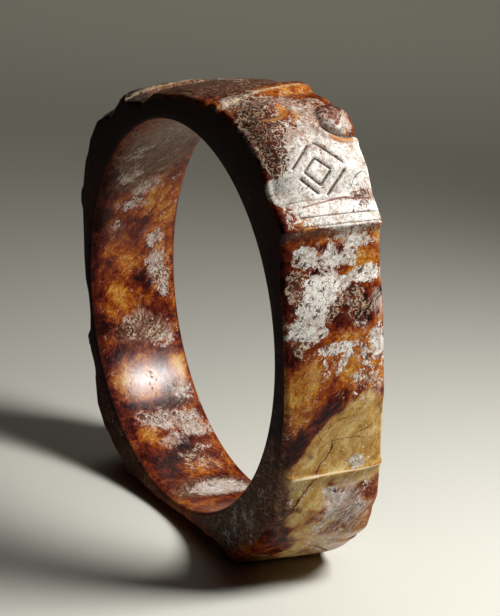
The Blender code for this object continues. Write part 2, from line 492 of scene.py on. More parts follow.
def carveRing(mesh, plan):
    angles = columnAngles()
    nColumns, nRows = len(angles), len(plan)
    half = ring["width"] / 2
    turn = np.radians(angles)
    around = np.stack((np.cos(turn), np.sin(turn), np.full(nColumns, 0.5)), axis=-1)
    least, most = wear["rimRound"]
    rimRound = least + (most - least) * 0.5 * (1.0 + lumps(around, 0.25, 0))
    nearShare = smoothShare((angles - 98.0) / 16.0) * smoothShare((168.0 - angles) / 16.0)
    nearRound = rimRound + wear["nearSoft"] * nearShare

    radius = np.zeros((nRows, nColumns))
    height = np.zeros((nRows, nColumns))
    cut = np.zeros((nRows, nColumns))
    depth = np.zeros((nRows, nColumns))            # 0 on the outer side, 1 in the hole

    skin = [k for k, (side, share) in enumerate(plan) if side == "skin"]
    for k in skin:
        share = (plan[k][1] + 1.0) / 2.0
        height[k] = (half - rimRound) * share - (half - nearRound) * (1.0 - share)
    angleGrid = np.broadcast_to(angles, (len(skin), nColumns))
    radius[skin], cut[skin] = skinHeight(angleGrid, height[skin])

    flat = np.stack((radius[skin] * np.sin(turn), height[skin], radius[skin] * np.cos(turn)), axis=-1)
    flat = flat.reshape(-1, 3)
    uneven = wear["swell"] * lumps(flat, wear["swellSize"], 1)
    uneven += wear["ripple"] * lumps(flat, wear["rippleSize"], 2)
    radius[skin] += uneven.reshape(len(skin), nColumns)

    for side, row, sign, rounding in (("far", skin[-1], 1.0, rimRound), ("near", skin[0], -1.0, nearRound)):
        outer = radius[row]
        opening = ring["holeRadius"]
        if side == "far":
            opening += wear["holeLean"] * (half - ring["holeRound"])
        low = opening + ring["holeRound"]
        inward = np.minimum(rounding, outer - low - wear["sideLeft"])      # less where the wall is thin
        for k, (name, share) in enumerate(plan):
            if name == side + "Rim":
                turnShare = share * math.pi / 2
                radius[k] = outer - inward * (1.0 - math.cos(turnShare))
                height[k] = sign * (half - rounding + rounding * math.sin(turnShare))
                cut[k] = cut[row] * (1.0 - share)
            elif name == side + "Side":
                high = outer - inward
                radius[k] = high + (low - high) * share
                height[k] = sign * half
                depth[k] = 0.15 + 0.7 * share
            elif name == side + "HoleRound":
                bend = share * math.pi / 2
                radius[k] = opening + ring["holeRound"] * (1.0 - math.sin(bend))
                height[k] = sign * (half - ring["holeRound"] * (1.0 - math.cos(bend)))
                depth[k] = 0.9
    for k, (name, share) in enumerate(plan):
        if name == "hole":
            height[k] = share * (half - ring["holeRound"])
            leaning = wear["holeLean"] * height[k] * (1.0 - share ** 4 if share < 0.0 else 1.0)
            radius[k] = ring["holeRadius"] - wear["holeDome"] * (1.0 - share * share) + leaning
            depth[k] = 1.0

    holeX, holeZ = ring["holeMiddle"]
    x = holeX + radius * np.sin(turn)
    z = holeZ + radius * np.cos(turn)
    z = np.maximum(z, 0.0)                         # worn flat where it stands

    count = len(mesh.vertices)
    row = np.zeros(count, dtype=np.int32)
    column = np.zeros(count, dtype=np.int32)
    mesh.attributes["row"].data.foreach_get("value", row)
    mesh.attributes["column"].data.foreach_get("value", column)
    places = np.stack((x[row, column], height[row, column], z[row, column]), axis=-1)
    mesh.vertices.foreach_set("co", places.astype(np.float32).ravel())
    mesh.update()
    return {
        "angle": angles[column],
        "y": height[row, column],
        "depth": depth[row, column],
        "cut": cut[row, column],
    }


def storeField(mesh, name, values):
    attribute = mesh.attributes.get(name) or mesh.attributes.new(name, "FLOAT", "POINT")
    attribute.data.foreach_set("value", np.asarray(values, dtype=np.float32))


# where each colour of the stone lies

# kind of stone: angle round the ring, place across in mm, half sizes round and across in mm, lean, strength
outerZones = {
    "calcite": (
        (17, -4.8, 2.6, 2.4, 0, 1.0), (22, -1.0, 2.5, 3.0, 0, 0.7), (27, 2.0, 2.6, 2.2, 0, 0.8),
        (24, -4.0, 3.0, 3.0, 0, 0.6), (38, 0.0, 5.0, 6.0, 0, 1.1), (45, 1.0, 5.0, 8.5, 0, 1.2),
        # the small zone at 33.6 degrees, on the far eye, is a painted highlight
        (45, -6.0, 2.6, 2.6, 0, 1.2), (39, 6.4, 2.2, 2.0, 0, 1.0), (33.6, 6.4, 1.1, 1.0, 0, 0.95),
        (52, 3.2, 3.2, 6.4, 0, 1.1), (34, -4.0, 4.0, 3.2, 0, 0.55), (51.0, -4.0, 2.2, 3.0, 0, 0.75),
        (30, 1.8, 1.6, 1.4, 0, 0.9), (57.8, 3.6, 0.9, 2.8, 0, 1.0), (59.8, -4.6, 1.7, 2.6, 0, 1.0),
        (60.2, -0.6, 1.8, 2.2, 0, 1.0), (61.0, 2.2, 1.6, 1.6, 0, 0.9), (64.8, 4.6, 1.3, 3.0, 0, 1.0),
        (66.5, -1.6, 3.2, 3.4, 18, 1.2), (70.5, -3.6, 4.2, 3.0, 24, 1.3), (75, -5.2, 3.2, 2.2, 22, 1.2),
        (66, 1.6, 1.6, 1.2, 0, 0.9), (78.5, -5.6, 1.6, 1.4, 20, 0.8), (75, 3.6, 1.7, 1.3, 24, 1.0),
        (81, 6.6, 2.8, 1.5, 0, 1.0), (77.5, -3.2, 0.9, 2.6, -24, 0.8), (81, -0.4, 0.9, 4.2, -8, 0.8),
        (84, 1.0, 2.6, 0.6, 30, 0.7), (85, -2.2, 2.2, 0.6, -10, 0.55), (84, 4.6, 2.4, 0.7, -12, 0.75),
        (90, 4.6, 3.6, 2.4, 30, 0.42), (108.4, 3.6, 1.0, 1.7, 0, 0.75), (117.5, 0.6, 1.8, 3.2, 46, 0.55),
        (120.5, 3.4, 3.0, 1.5, 44, 0.60), (115, 4.2, 2.2, 1.4, 46, 0.36), (122, -0.6, 2.6, 1.4, 44, 0.36),
        (114, -5.0, 1.6, 1.4, 30, 0.2), (128, 0.0, 5.0, 6.0, 30, 0.25), (118, -7.4, 6.0, 1.6, 0, 0.40),
        (3, 2.0, 5.0, 1.4, 0, 0.5), (350, 3.4, 6.0, 1.4, 0, 0.6), (336, 5.4, 5.0, 1.4, 0, 0.6),
        (200, 1.0, 6.0, 4.0, 30, 0.7), (232, -1.0, 6.0, 5.0, 20, 0.8), (262, 1.0, 5.0, 4.0, -30, 0.7),
        (312, 0.0, 6.0, 5.0, 30, 0.6), (166, 0.0, 6.0, 3.0, 30, 0.5),
    ),
    "amber": (
        (17, 4.5, 1.8, 4.0, 0, 1.0), (27, -0.5, 1.2, 2.0, 0, 0.9), (30.5, 0.4, 1.4, 1.1, 0, 0.9),
        (35.6, 4.8, 0.9, 2.6, 0, 0.9), (52, -5.0, 2.4, 2.4, 0, 0.6), (56.3, 0.0, 0.8, 8.0, 0, 0.8),
        (36.6, 5.2, 0.9, 2.6, 0, 0.9), (57, 7.0, 1.4, 1.2, 0, 0.9), (61.6, 4.8, 1.6, 2.2, 0, 1.1),
        (64.2, 1.0, 0.8, 2.0, 0, 0.8), (89, -5.0, 5.2, 3.4, 30, 1.0), (84, 0.6, 3.0, 3.6, 30, 0.9),
        (86, 6.0, 3.4, 2.4, 0, 0.6), (96, -6.5, 4.0, 1.8, 10, 0.8), (92, 1.0, 2.0, 2.0, 40, 0.7),
        (78, 2.4, 1.8, 2.4, 20, 0.8), (121, 6.2, 2.0, 1.4, 0, 0.8), (119, 1.8, 3.4, 0.8, 50, 0.6),
        (126, 0.0, 4.0, 4.0, 0, 0.6), (128, 5.0, 4.0, 3.0, 0, 0.7), (215, 3.0, 6.0, 3.0, 30, 0.9),
        (250, -3.0, 6.0, 3.0, 30, 0.9), (285, 2.0, 7.0, 3.0, 30, 0.9), (330, -2.0, 5.0, 3.0, 30, 0.5),
        (160, 3.0, 5.0, 3.0, 20, 0.7),
    ),
    "olive": (
        (104, -0.6, 5.0, 3.4, 30, 1.2), (100, 4.5, 4.4, 4.2, 20, 1.2), (108, 3.5, 3.8, 5.0, 0, 1.2),
        (87.5, -3.6, 2.4, 1.4, 30, 0.5), (110, -3.6, 3.0, 3.4, 0, 1.0), (116.5, -3.4, 3.2, 1.8, 36, 1.2),
        (121, -5.4, 3.4, 1.6, 36, 1.0), (112, -6.4, 3.4, 1.8, 0, 1.0), (120, -7.2, 3.0, 1.2, 0, 0.7),
        (132, -1.0, 4.0, 5.0, 0, 0.9), (129, 5.0, 3.0, 3.0, 0, 0.5), (142, 0.0, 5.0, 6.0, 0, 0.7),
        (127, -3.6, 3.6, 2.4, 40, 0.9), (123, 0.6, 2.4, 1.6, 46, 0.7), (128, 2.4, 3.0, 1.6, 46, 0.8),
        (150, 0.0, 4.0, 6.0, 0, 0.6), (94, 2.0, 1.6, 1.6, 40, 0.4), (85.5, -5.0, 3.0, 1.4, 30, 0.45),
    ),
    "maroon": (
        (71.5, 3.4, 3.0, 3.0, 26, 1.0), (74.5, 0.2, 1.5, 2.2, 36, 1.0), (63.2, -1.2, 0.7, 3.4, 0, 0.55),
        (70, 6.8, 1.8, 1.4, 0, 0.9), (58.4, -1.8, 0.6, 0.9, 0, 0.75), (58.9, 0.9, 1.0, 0.5, 0, 0.8),
        (60.2, -5.6, 0.5, 0.6, 0, 0.7), (63.0, -3.0, 0.6, 1.1, 10, 0.8), (63.4, 0.9, 0.6, 1.3, 0, 0.75),
        (56.3, -5.5, 0.9, 3.0, 0, 0.6), (102, -5.0, 5.6, 1.1, 42, 1.0), (94, -0.4, 3.4, 1.0, 44, 0.95),
        (82, -7.2, 2.0, 1.2, 0, 1.0), (98, 6.6, 1.6, 1.2, 0, 0.5), (79.6, -6.8, 1.4, 1.0, 0, 1.0),
        (31.2, 5.9, 2.2, 2.3, 0, 0.25), (324, -6.6, 10.0, 2.2, 0, 1.5), (106.0, -6.8, 3.4, 1.2, 30, 0.9),
        (106.6, -3.6, 1.2, 1.0, 0, 0.5), (29, -6.9, 4.0, 1.3, 0, 1.1), (36, -7.0, 4.0, 1.2, 0, 1.1),
        (54, -8.0, 4.0, 0.8, 0, 1.2), (60, -7.6, 4.0, 1.0, 0, 1.1), (55.7, 0.0, 0.5, 8.0, 0, 0.4),
        (67, -6.9, 4.0, 0.9, 0, 0.9), (127, -6.8, 5.0, 1.4, 0, 0.9), (115, -7.4, 3.0, 0.8, 0, 0.6),
        (119, -5.3, 4.0, 0.6, 46, 0.5), (116.5, 2.9, 3.0, 0.5, 46, 0.7), (123, 1.6, 2.6, 0.6, 46, 0.6),
        (131, -5.6, 3.5, 1.8, 20, 0.6), (5, -3.0, 6.0, 5.0, 0, 0.6), (350, -3.0, 6.0, 5.0, 0, 0.8),
        (190, -2.0, 6.0, 3.0, 30, 0.7), (240, 4.0, 5.0, 2.5, 30, 0.7), (275, -3.0, 6.0, 3.0, 30, 0.8),
        (300, 3.0, 6.0, 3.0, 30, 0.7),
    ),
    "fibre": (
        (0, 0.0, 10.0, 9.0, 0, 1.0), (345, 0.0, 9.0, 9.0, 0, 1.0), (332, 0.0, 9.0, 9.0, 0, 0.9),
        (119, 2.4, 3.4, 3.6, 45, 0.6), (128, 2.0, 5.0, 4.0, 45, 0.65), (136, 0.0, 4.0, 6.0, 40, 0.6),
        (31.2, 5.9, 2.2, 2.3, 0, 0.7), (150, 0.0, 8.0, 6.0, 30, 0.5), (180, 0.0, 9.0, 6.0, 30, 0.5),
        (255, 0.0, 9.0, 6.0, 30, 0.5), (116, -7.8, 8.0, 1.6, 0, 0.7), (123, 3.0, 4.0, 3.0, 40, 0.4),
    ),
    "streak": (
        (117.5, 1.5, 4.5, 3.6, 46, 0.85), (121, 4.5, 3.0, 2.5, 46, 0.8), (125, 0.0, 4.0, 5.0, 40, 0.65),
        (128, 4.0, 3.0, 3.0, 46, 0.6), (31.2, 5.9, 2.2, 2.3, 0, 0.65), (112.5, 5.8, 2.0, 1.6, 46, 0.6),
        (3, 2.0, 5.0, 1.4, 0, 0.5), (350, 3.4, 6.0, 1.4, 0, 0.6), (90, 4.6, 3.6, 2.4, 30, 0.5),
        (114, -5.0, 2.4, 1.6, 30, 0.3), (84, 3.0, 3.0, 4.0, 30, 0.4), (59.5, 1.0, 2.6, 7.0, 0, 0.45),
        (72, 6.8, 3.0, 1.2, 0, 0.75), (80, 3.0, 5.0, 4.0, 24, 0.45), (91, 6.4, 3.0, 1.6, 0, 0.6),
        (52, -5.4, 3.0, 2.0, 0, 0.5), (160, 0.0, 8.0, 5.0, 30, 0.5), (220, 0.0, 12.0, 5.0, 30, 0.5),
    ),
    "worm": (
        (71.8, 3.2, 3.0, 3.0, 26, 0.62), (20, -3.6, 4.0, 3.6, 0, 0.9), (28, -5.0, 5.0, 3.0, 0, 1.15),
        (35, -6.0, 4.6, 2.0, 0, 1.15), (32, -2.2, 3.0, 2.0, 0, 0.35), (53, -5.6, 2.0, 1.6, 0, 0.45),
        (66, -6.2, 3.0, 1.3, 0, 1.0), (80, -6.0, 1.6, 1.4, 0, 0.9), (72, -0.2, 2.6, 0.8, 30, 0.8),
        (49, 5.8, 1.2, 1.8, 0, 0.8), (25, 4.0, 2.6, 3.0, 0, 0.6), (64, -5.6, 2.0, 1.0, 0, 0.8),
        (245, 0.0, 5.0, 5.0, 0, 0.8), (205, 0.0, 5.0, 5.0, 0, 0.8), (310, 0.0, 6.0, 6.0, 0, 0.7),
    ),
}

holeZones = {
    "calcite": (
        (311, -4.0, 2.0, 2.4, 30, 0.5), (300, -3.0, 2.2, 2.4, 30, 0.6), (295, 1.0, 1.2, 3.2, 30, 0.5),
        (288, -1.0, 1.2, 2.6, 10, 0.6), (281, -4.0, 1.4, 1.2, 60, 0.6), (266, 4.4, 2.6, 1.8, 0, 0.75),
        (260, 5.6, 2.6, 1.4, 0, 0.8), (274, 4.0, 1.6, 2.0, 0, 0.6), (247, 1.5, 2.4, 5.0, 0, 0.35),
        (242, 4.6, 1.6, 2.0, 30, 0.5), (215, 1.0, 1.8, 6.0, 0, 0.75), (210, 4.5, 1.8, 3.6, 0, 0.75),
        (207, 0.0, 1.3, 2.6, 30, 0.7), (203, 3.4, 1.2, 1.8, 0, 0.7), (199, 0.0, 2.4, 1.4, 20, 0.7),
        (224, 4.6, 2.4, 2.0, 0, 0.7), (180, 1.0, 2.4, 5.0, 0, 0.9), (60, 0.0, 7.0, 4.0, 30, 0.6),
        (110, 2.0, 7.0, 4.0, 30, 0.6),
    ),
    "amber": (
        (289, 4.8, 3.2, 3.0, 20, 1.0), (283, 5.6, 3.4, 1.8, 0, 1.0), (288, -4.4, 1.4, 2.0, 0, 0.6),
        (273, -5.6, 1.8, 1.2, 20, 1.0), (258, -3.0, 2.8, 1.5, 44, 1.2), (267, -1.0, 2.6, 1.4, 44, 1.0),
        (252, -4.8, 2.4, 1.0, 44, 1.1), (265, -6.0, 2.6, 1.2, 0, 0.9), (230, -4.8, 3.4, 2.2, 0, 1.1),
        (233, 5.8, 3.2, 1.6, 0, 1.1), (226, -1.8, 2.2, 2.4, 0, 0.8), (210, -4.0, 2.4, 1.4, 0, 1.1),
        (211, 6.5, 1.6, 1.1, 0, 1.0), (205, -2.0, 1.6, 1.6, 0, 0.8), (193, 1.0, 2.4, 3.4, 0, 0.8),
        (242, -6.2, 2.0, 1.2, 0, 0.8), (45, 3.0, 8.0, 3.0, 30, 0.8), (130, -3.0, 8.0, 3.0, 30, 0.8),
        (80, -4.0, 6.0, 3.0, 30, 0.6),
    ),
    "olive": (
        (229, -4.2, 2.4, 1.6, 0, 0.4), (90, 3.0, 6.0, 4.0, 30, 0.4),
    ),
    "maroon": (
        (221, -2.0, 1.0, 6.0, 0, 1.0), (239, -5.0, 1.6, 3.2, 35, 0.9), (246, -4.4, 1.8, 2.4, 0, 0.5),
        (262, 1.6, 2.6, 1.4, 44, 0.7), (251, 4.6, 1.6, 2.6, 0, 0.7), (238, 6.4, 0.9, 1.6, 0, 0.8),
        (204, 1.4, 1.8, 3.0, 20, 0.9), (199, -3.0, 2.4, 3.6, 0, 0.9), (193, -3.4, 2.4, 2.6, 0, 0.8),
        (214, -6.6, 3.6, 1.0, 0, 0.8), (203, -6.8, 3.6, 0.9, 0, 0.7), (318, -6.0, 6.0, 1.8, 0, 0.8),
        (280, -0.6, 1.8, 2.2, 20, 0.5), (187, 3.0, 1.2, 3.0, 0, 0.6), (0, 0.0, 8.0, 6.0, 0, 0.6),
        # the zones at 285, 255 and 230 degrees, along the near edge of the hole, are painted shade
        (150, 2.0, 8.0, 4.0, 30, 0.6), (285, -7.2, 16.0, 2.0, 0, 1.2), (255, -7.2, 12.0, 1.8, 0, 1.0),
        (230, -7.6, 8.0, 1.2, 0, 0.8),
    ),
    "fibre": (
        (320, 0.0, 8.0, 8.0, 0, 1.1), (307, 0.0, 5.0, 7.0, 0, 1.1), (297, -2.0, 3.0, 5.0, 0, 0.7),
        (246, 0.5, 3.0, 6.0, 0, 0.8), (223, 4.0, 3.0, 3.0, 0, 0.7), (181, 0.0, 4.0, 8.0, 0, 1.0),
        (340, 0.0, 9.0, 8.0, 0, 1.0), (279, -3.5, 3.0, 2.4, 0, 0.6),
    ),
    "streak": (
        (311, -4.0, 3.0, 3.4, 30, 0.5), (300, -3.0, 3.2, 3.4, 30, 0.6), (295, 1.0, 2.2, 4.2, 30, 0.7),
        (249, 0.0, 3.0, 4.0, 20, 0.6), (244, 4.0, 2.4, 4.0, 30, 0.6), (215, 1.0, 2.8, 6.0, 0, 0.7),
        (207, 0.0, 2.3, 3.6, 30, 0.7), (180, 1.0, 3.4, 6.0, 0, 1.0), (195, 3.0, 3.0, 3.0, 0, 0.6),
        (264, 4.6, 4.0, 2.6, 0, 0.7), (276, 3.0, 3.0, 3.0, 0, 0.5),
    ),
    "worm": (
        (246, 1.0, 3.0, 5.0, 0, 0.5), (217, 0.0, 2.0, 5.0, 0, 0.5), (198, 1.0, 3.0, 3.0, 0, 0.7),
        (261, 5.2, 2.6, 1.6, 0, 0.6),
    ),
}

# the two side faces: angle, place from the outer rim (0) to the hole (5), then as above
sideZones = {
    "calcite": (
        (112, 2.0, 5.0, 1.6, 20, 0.50), (122, 3.0, 5.0, 1.6, 20, 0.45), (132, 2.0, 5.0, 2.2, 20, 0.45),
        (142, 3.0, 5.0, 2.0, 20, 0.50), (225, 2.5, 9.0, 2.5, 20, 0.4),
    ),
    "amber": (
        (50, 1.0, 3.0, 1.8, 0, 0.5), (118, 0.8, 4.0, 1.6, 0, 0.5), (136, 2.0, 4.0, 2.4, 0, 0.5),
        (210, 2.5, 9.0, 2.5, 0, 0.6), (290, 2.5, 9.0, 2.5, 0, 0.4),
    ),
    "olive": (
        (120, 1.2, 5.0, 1.8, 0, 0.7), (135, 2.5, 5.0, 2.0, 0, 0.5),
    ),
    "maroon": (
        (20, 2.5, 22.0, 6.0, 0, 1.1), (60, 2.5, 22.0, 6.0, 0, 0.9), (90, 2.5, 16.0, 6.0, 0, 1.1),
        (330, 2.5, 26.0, 6.0, 0, 1.2), (270, 2.5, 26.0, 6.0, 0, 0.8), (126, 1.0, 3.5, 1.6, 0, 0.8),
        (108, 3.5, 4.0, 2.0, 0, 0.8),
    ),
    "fibre": (
        (118, 3.0, 9.0, 4.0, 0, 0.9), (132, 3.0, 9.0, 5.0, 0, 1.0), (148, 3.0, 8.0, 4.0, 0, 1.0),
        (40, 2.5, 14.0, 5.0, 0, 0.4), (95, 2.5, 12.0, 5.0, 0, 0.5), (205, 2.5, 18.0, 5.0, 0, 0.6),
        (240, 2.5, 14.0, 4.0, 0, 0.4),
    ),
    "streak": (
        (118, 3.0, 9.0, 4.0, 0, 0.25), (135, 3.0, 9.0, 5.0, 0, 0.35), (152, 3.0, 9.0, 5.0, 0, 0.40),
        (100, 3.5, 8.0, 2.0, 0, 0.30), (195, 2.5, 12.0, 5.0, 0, 0.4),
    ),
    "worm": (),
}

# thin lines in the stone, and a painted highlight on the second ridge: which way each runs, its points
# (angle, place across in mm), half width in mm
thinLines = {
    "longCrack": {
        "kind": "crack", "runs": "round", "halfWidth": 0.13,
        "points": (
            (103.6, -0.6), (105.0, -0.7), (107.0, -1.4), (109.0, -2.6), (112.0, -3.4), (116.0, -5.2),
            (120.0, -6.4),
        ),
    },
    "upperCrack": {
        "kind": "crack", "runs": "round", "halfWidth": 0.055,
        "points": (
            (96.5, -4.6), (98.0, -4.0), (100.0, -3.2), (102.0, -2.8), (104.0, -1.0),
        ),
    },
    "farCrack": {
        "kind": "crack", "runs": "across", "halfWidth": 0.06,
        "points": (
            (-1.6, 100.6), (-0.4, 99.0), (0.6, 98.2), (1.4, 98.0),
        ),
    },
    "rustVein": {
        "kind": "rust", "runs": "across", "halfWidth": 0.06,
        "points": (
            (-1.0, 103.8), (0.6, 103.0), (2.4, 102.9), (4.6, 103.4),
        ),
    },
    "farRustVein": {
        "kind": "rust", "runs": "across", "halfWidth": 0.09,
        "points": (
            (3.6, 101.6), (4.8, 101.2), (6.4, 99.6),
        ),
    },
    "nearEyeGroove": {
        "kind": "honey", "runs": "across", "halfWidth": 0.34,
        "points": (
            (-5.0, 28.4), (-4.2, 29.1), (-3.1, 29.3), (-1.7, 28.6), (-0.1, 26.0),
        ),
    },
    "farEyeGroove": {
        "kind": "honey", "runs": "across", "halfWidth": 0.34,
        "points": (
            (2.9, 35.0), (3.6, 36.6), (4.7, 37.2), (6.9, 37.2),
        ),
    },
    "cheekLine": {
        "kind": "crack", "runs": "across", "halfWidth": 0.08,
        "points": (
            (4.0, 47.3), (4.5, 46.2), (5.2, 45.0), (6.6, 44.1),
        ),
    },
    "lipTop": {
        "kind": "rust", "runs": "across", "halfWidth": 0.13,
        "points": (
            (-4.4, 49.9), (-2.7, 49.5), (-0.2, 49.2), (2.8, 48.8), (4.4, 49.5), (7.4, 49.4),
        ),
    },
    # painted highlight: the lit edge of the second ridge, thicker at its near end in the next entry
    "ridgeHighlight": {
        "kind": "edge", "runs": "across", "halfWidth": 0.085,
        "points": (
            (-6.7, 111.5), (-4.4, 111.0), (-1.3, 110.5), (2.0, 110.2), (7.9, 110.0),
        ),
    },
    "ridgeHighlightNearEnd": {
        "kind": "edge", "runs": "across", "halfWidth": 0.17,
        "points": (
            (-6.9, 111.6), (-5.6, 111.3), (-4.4, 111.0), (-2.6, 110.7),
        ),
    },
}


spanOfDegree = {                                   # stone that one degree covers
    "outer": 0.66 * mm,
    "hole": 0.532 * mm,
    "side": 0.60 * mm,
}


def zoneField(zones, angle, across, scale):
    # the strongest zone at each place, soft at its edge
    field = np.zeros(len(angle))
    for middle, side, halfRound, halfAcross, lean, strength in zones:
        down = (np.mod(angle - middle + 180.0, 360.0) - 180.0) * scale / mm
        over = across - side
        swing = math.radians(lean)
        alongZone = down * math.cos(swing) - over * math.sin(swing)
        acrossZone = over * math.cos(swing) + down * math.sin(swing)
        distance = np.hypot(alongZone / halfRound, acrossZone / halfAcross)
        field = np.maximum(field, strength * smoothShare(1.35 - distance * 0.85))
    return field


def layStone(mesh, made):
    angle, across, depth = made["angle"], made["y"] / mm, made["depth"]
    onSkin = smoothShare(1.0 - depth * 5.0)
    inHole = smoothShare((depth - 0.86) * 10.0)
    onSide = np.clip(1.0 - onSkin - inHole, 0.0, 1.0)
    downSide = np.clip((depth - 0.15) / 0.7, 0.0, 1.0) * 5.0
    for kind in outerZones:
        outer = zoneField(outerZones[kind], angle, across, spanOfDegree["outer"])
        hole = zoneField(holeZones[kind], angle, across, spanOfDegree["hole"])
        face = zoneField(sideZones[kind], angle, downSide, spanOfDegree["side"])
        storeField(mesh, kind, outer * onSkin + hole * inHole + face * onSide)
    storeField(mesh, "cut", made["cut"])
    storeField(mesh, "inHole", inHole)
    lined = smoothShare((angle - 8.0) / 4.0) * smoothShare((150.0 - angle) / 4.0)
    storeField(mesh, "onSkin", smoothShare(1.0 - depth * 9.0) * lined)      # where thin lines are drawn
    storeField(mesh, "angleRound", angle)
    storeField(mesh, "sideAcross", across)
    inShade = np.clip(onSide + smoothShare(depth * 12.0) * (1.0 - inHole), 0.0, 1.0) * (across < 0.0)
    storeField(mesh, "sideFace", inShade)

    # painted shade: the near side face is darkened nearly black from low on the left, over the top, to half
    # way down, and the outer side along the near rim from 306 to 340 degrees is darkened too
    turned = np.mod(angle - 184.0, 360.0)
    shadedSpan = smoothShare(turned / 16.0) * smoothShare((286.0 - turned) / 18.0)
    rim = smoothShare((angle - 306.0) / 5.0) * smoothShare((340.0 - angle) / 5.0)
    rim = rim * onSkin * smoothShare((-across - 3.2) / 2.0)
    storeField(mesh, "paintedNearShade", np.maximum(inShade * np.maximum(shadedSpan, 0.5), rim))

    # painted highlight: the edge of each ridge, and of each lip, is painted pale where it catches the light
    place, number = nearestHead(angle)
    onRidge = dent(np.abs(place + 19.3 + 0.12 * across) * 0.7, 0.42) * onSkin
    onEdge = dent(np.abs(place - 19.6) * 0.7, 0.35) * onSkin
    onRidge = onRidge * np.where(number == 1, 0.3, 1.0)
    onEdge = onEdge * np.where(number == 0, 0.2, 0.8)
    storeField(mesh, "edgeHighlight", np.maximum(onRidge, onEdge))


# the stone itself

stone = {
    "maroonBlack": (0.012, 0.0030, 0.0026),
    "darkRed": (0.088, 0.012, 0.007),
    "redBrown": (0.170, 0.030, 0.008),
    "rust": (0.300, 0.070, 0.008),
    "amber": (0.44, 0.162, 0.020),
    "ochre": (0.57, 0.33, 0.070),
    "oliveDark": (0.30, 0.130, 0.030),
    "oliveMiddle": (0.45, 0.265, 0.068),
    "oliveLight": (0.62, 0.465, 0.195),
    "fibreDark": (0.040, 0.018, 0.011),
    "fibreMiddle": (0.150, 0.066, 0.036),
    "fibreLight": (0.47, 0.345, 0.25),
    "streakLilac": (0.56, 0.435, 0.36),
    "calciteTan": (0.40, 0.26, 0.19),
    "calciteGrey": (0.52, 0.465, 0.41),
    "calciteWhite": (0.80, 0.77, 0.72),
    "fleckPink": (0.55, 0.38, 0.28),
    "wormDark": (0.045, 0.010, 0.005),
    "wormCream": (0.66, 0.52, 0.38),
    "browBrown": (0.30, 0.120, 0.055),
    "speckBrown": (0.048, 0.018, 0.010),
    "grooveBrown": (0.050, 0.018, 0.010),
    # painted highlight colour for the ridge and lip edges
    "highlightCream": (0.78, 0.64, 0.42),
    "beddingLean": 49.5,                           # degrees: the beds climb towards +Y
    "polished": 0.22,
    "dull": 0.42,
}


